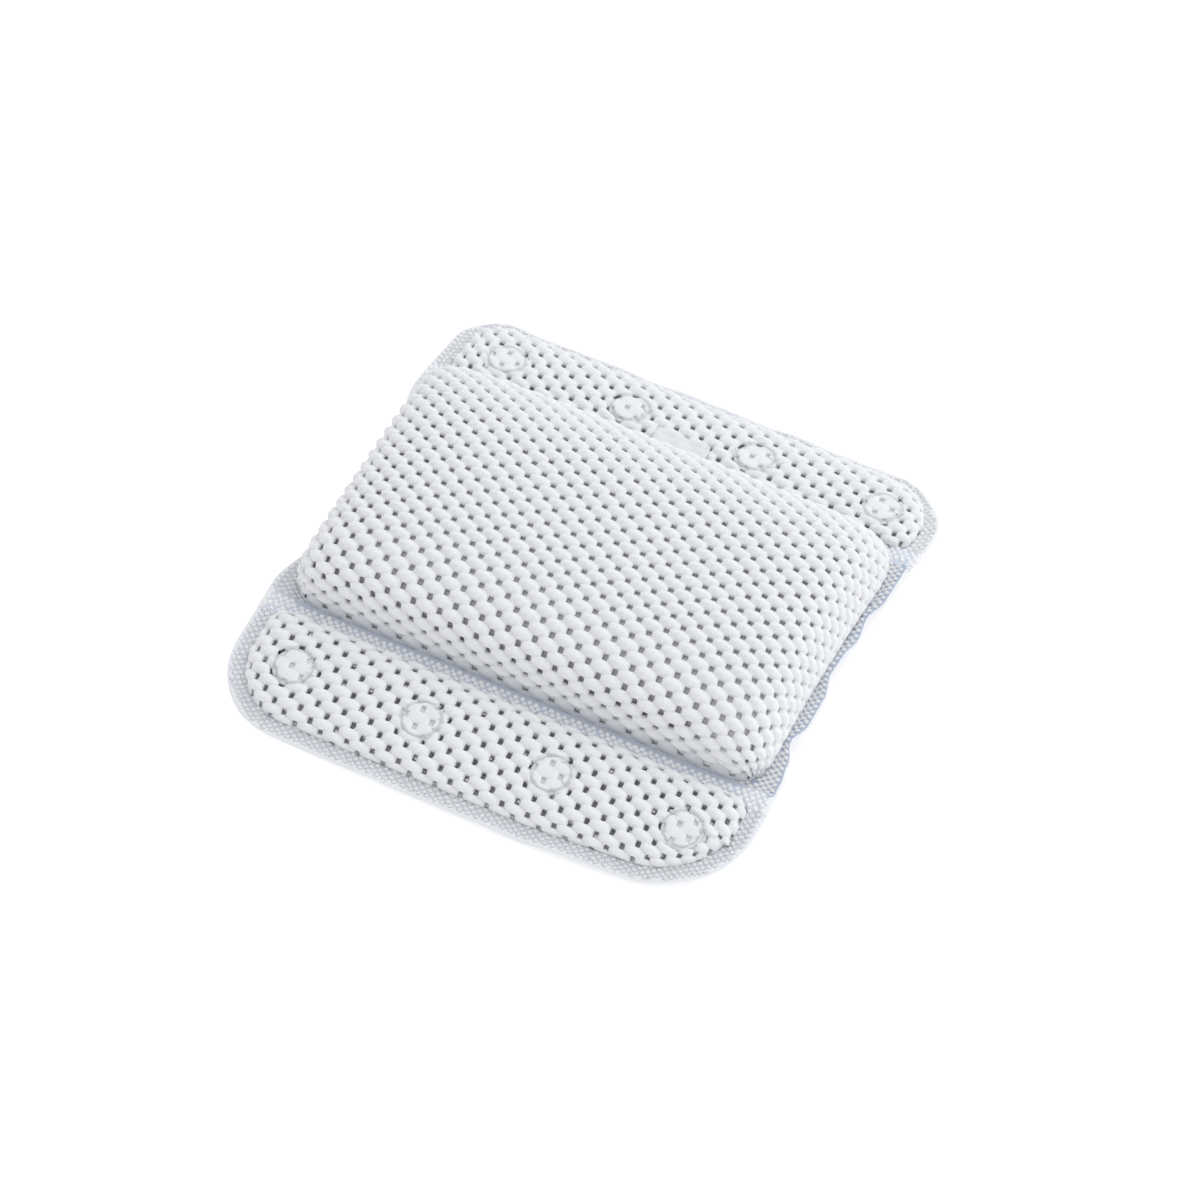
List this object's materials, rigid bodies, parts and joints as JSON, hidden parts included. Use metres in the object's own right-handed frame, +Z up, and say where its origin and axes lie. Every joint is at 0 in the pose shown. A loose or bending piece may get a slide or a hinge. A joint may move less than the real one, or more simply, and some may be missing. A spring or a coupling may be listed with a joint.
{
  "type": "bath pillow",
  "caption": "Soft bath pillow of open white foam mesh, a stuffed cushion between thin flaps that fold along weld seams and grip the bath with suction cups.",
  "frame": {"origin": "on the surface the pillow lies on, below the middle of its outline", "axes": "+X along the rows of cups, +Y towards the shorter rear flap with the label, +Z up"},
  "size_m": [0.33, 0.3468, 0.0659],
  "materials": {
    "beaded_mesh": "matte foamed vinyl beads",
    "fine_mesh": "matte fine foamed vinyl mesh",
    "foam_core": "open-cell foam",
    "label_tape": "smooth blank tape",
    "soft_vinyl": "glossy translucent soft vinyl"
  },
  "bodies": {
    "pillow": {"pillow_cover": "beaded_mesh", "pillow_core": "foam_core", "pillow_backing": "fine_mesh", "front_weld_seam": "beaded_mesh", "rear_weld_seam": "beaded_mesh"},
    "front_flap": {"front_flap_cover": "beaded_mesh", "front_flap_backing": "fine_mesh"},
    "rear_flap": {"rear_flap_cover": "beaded_mesh", "rear_flap_backing": "fine_mesh", "label_tag": "label_tape"},
    "front_cup_1": {"front_cup_1": "soft_vinyl"},
    "front_cup_2": {"front_cup_2": "soft_vinyl"},
    "front_cup_3": {"front_cup_3": "soft_vinyl"},
    "front_cup_4": {"front_cup_4": "soft_vinyl"},
    "rear_cup_1": {"rear_cup_1": "soft_vinyl"},
    "rear_cup_2": {"rear_cup_2": "soft_vinyl"},
    "rear_cup_3": {"rear_cup_3": "soft_vinyl"},
    "rear_cup_4": {"rear_cup_4": "soft_vinyl"}
  },
  "joints": [
    {"name": "front_flap_fold", "type": "hinge", "parent": "pillow", "child": "front_flap", "pos_m": [0, -0.09409, 0.016], "axis": [1, 0, 0], "range_deg": [-75, 80], "deforming": ["front_weld_seam"]},
    {"name": "rear_flap_fold", "type": "hinge", "parent": "pillow", "child": "rear_flap", "pos_m": [0, 0.10591, 0.016], "axis": [-1, 0, 0], "range_deg": [-75, 80], "deforming": ["rear_weld_seam"]},
    {"name": "front_cup_1_press", "type": "slide", "parent": "front_flap", "child": "front_cup_1", "axis": [0, -0.1475, 0.9891], "range_m": [0, 0.003], "stiffness_N_per_m": 1500, "deforming": ["front_cup_1"]},
    {"name": "front_cup_2_press", "type": "slide", "parent": "front_flap", "child": "front_cup_2", "axis": [0, -0.1475, 0.9891], "range_m": [0, 0.003], "stiffness_N_per_m": 1500, "deforming": ["front_cup_2"]},
    {"name": "front_cup_3_press", "type": "slide", "parent": "front_flap", "child": "front_cup_3", "axis": [0, -0.1475, 0.9891], "range_m": [0, 0.003], "stiffness_N_per_m": 1500, "deforming": ["front_cup_3"]},
    {"name": "front_cup_4_press", "type": "slide", "parent": "front_flap", "child": "front_cup_4", "axis": [0, -0.1475, 0.9891], "range_m": [0, 0.003], "stiffness_N_per_m": 1500, "deforming": ["front_cup_4"]},
    {"name": "rear_cup_1_press", "type": "slide", "parent": "rear_flap", "child": "rear_cup_1", "axis": [0, 0.1903, 0.9817], "range_m": [0, 0.003], "stiffness_N_per_m": 1500, "deforming": ["rear_cup_1"]},
    {"name": "rear_cup_2_press", "type": "slide", "parent": "rear_flap", "child": "rear_cup_2", "axis": [0, 0.1903, 0.9817], "range_m": [0, 0.003], "stiffness_N_per_m": 1500, "deforming": ["rear_cup_2"]},
    {"name": "rear_cup_3_press", "type": "slide", "parent": "rear_flap", "child": "rear_cup_3", "axis": [0, 0.1903, 0.9817], "range_m": [0, 0.003], "stiffness_N_per_m": 1500, "deforming": ["rear_cup_3"]},
    {"name": "rear_cup_4_press", "type": "slide", "parent": "rear_flap", "child": "rear_cup_4", "axis": [0, 0.1903, 0.9817], "range_m": [0, 0.003], "stiffness_N_per_m": 1500, "deforming": ["rear_cup_4"]}
  ]
}
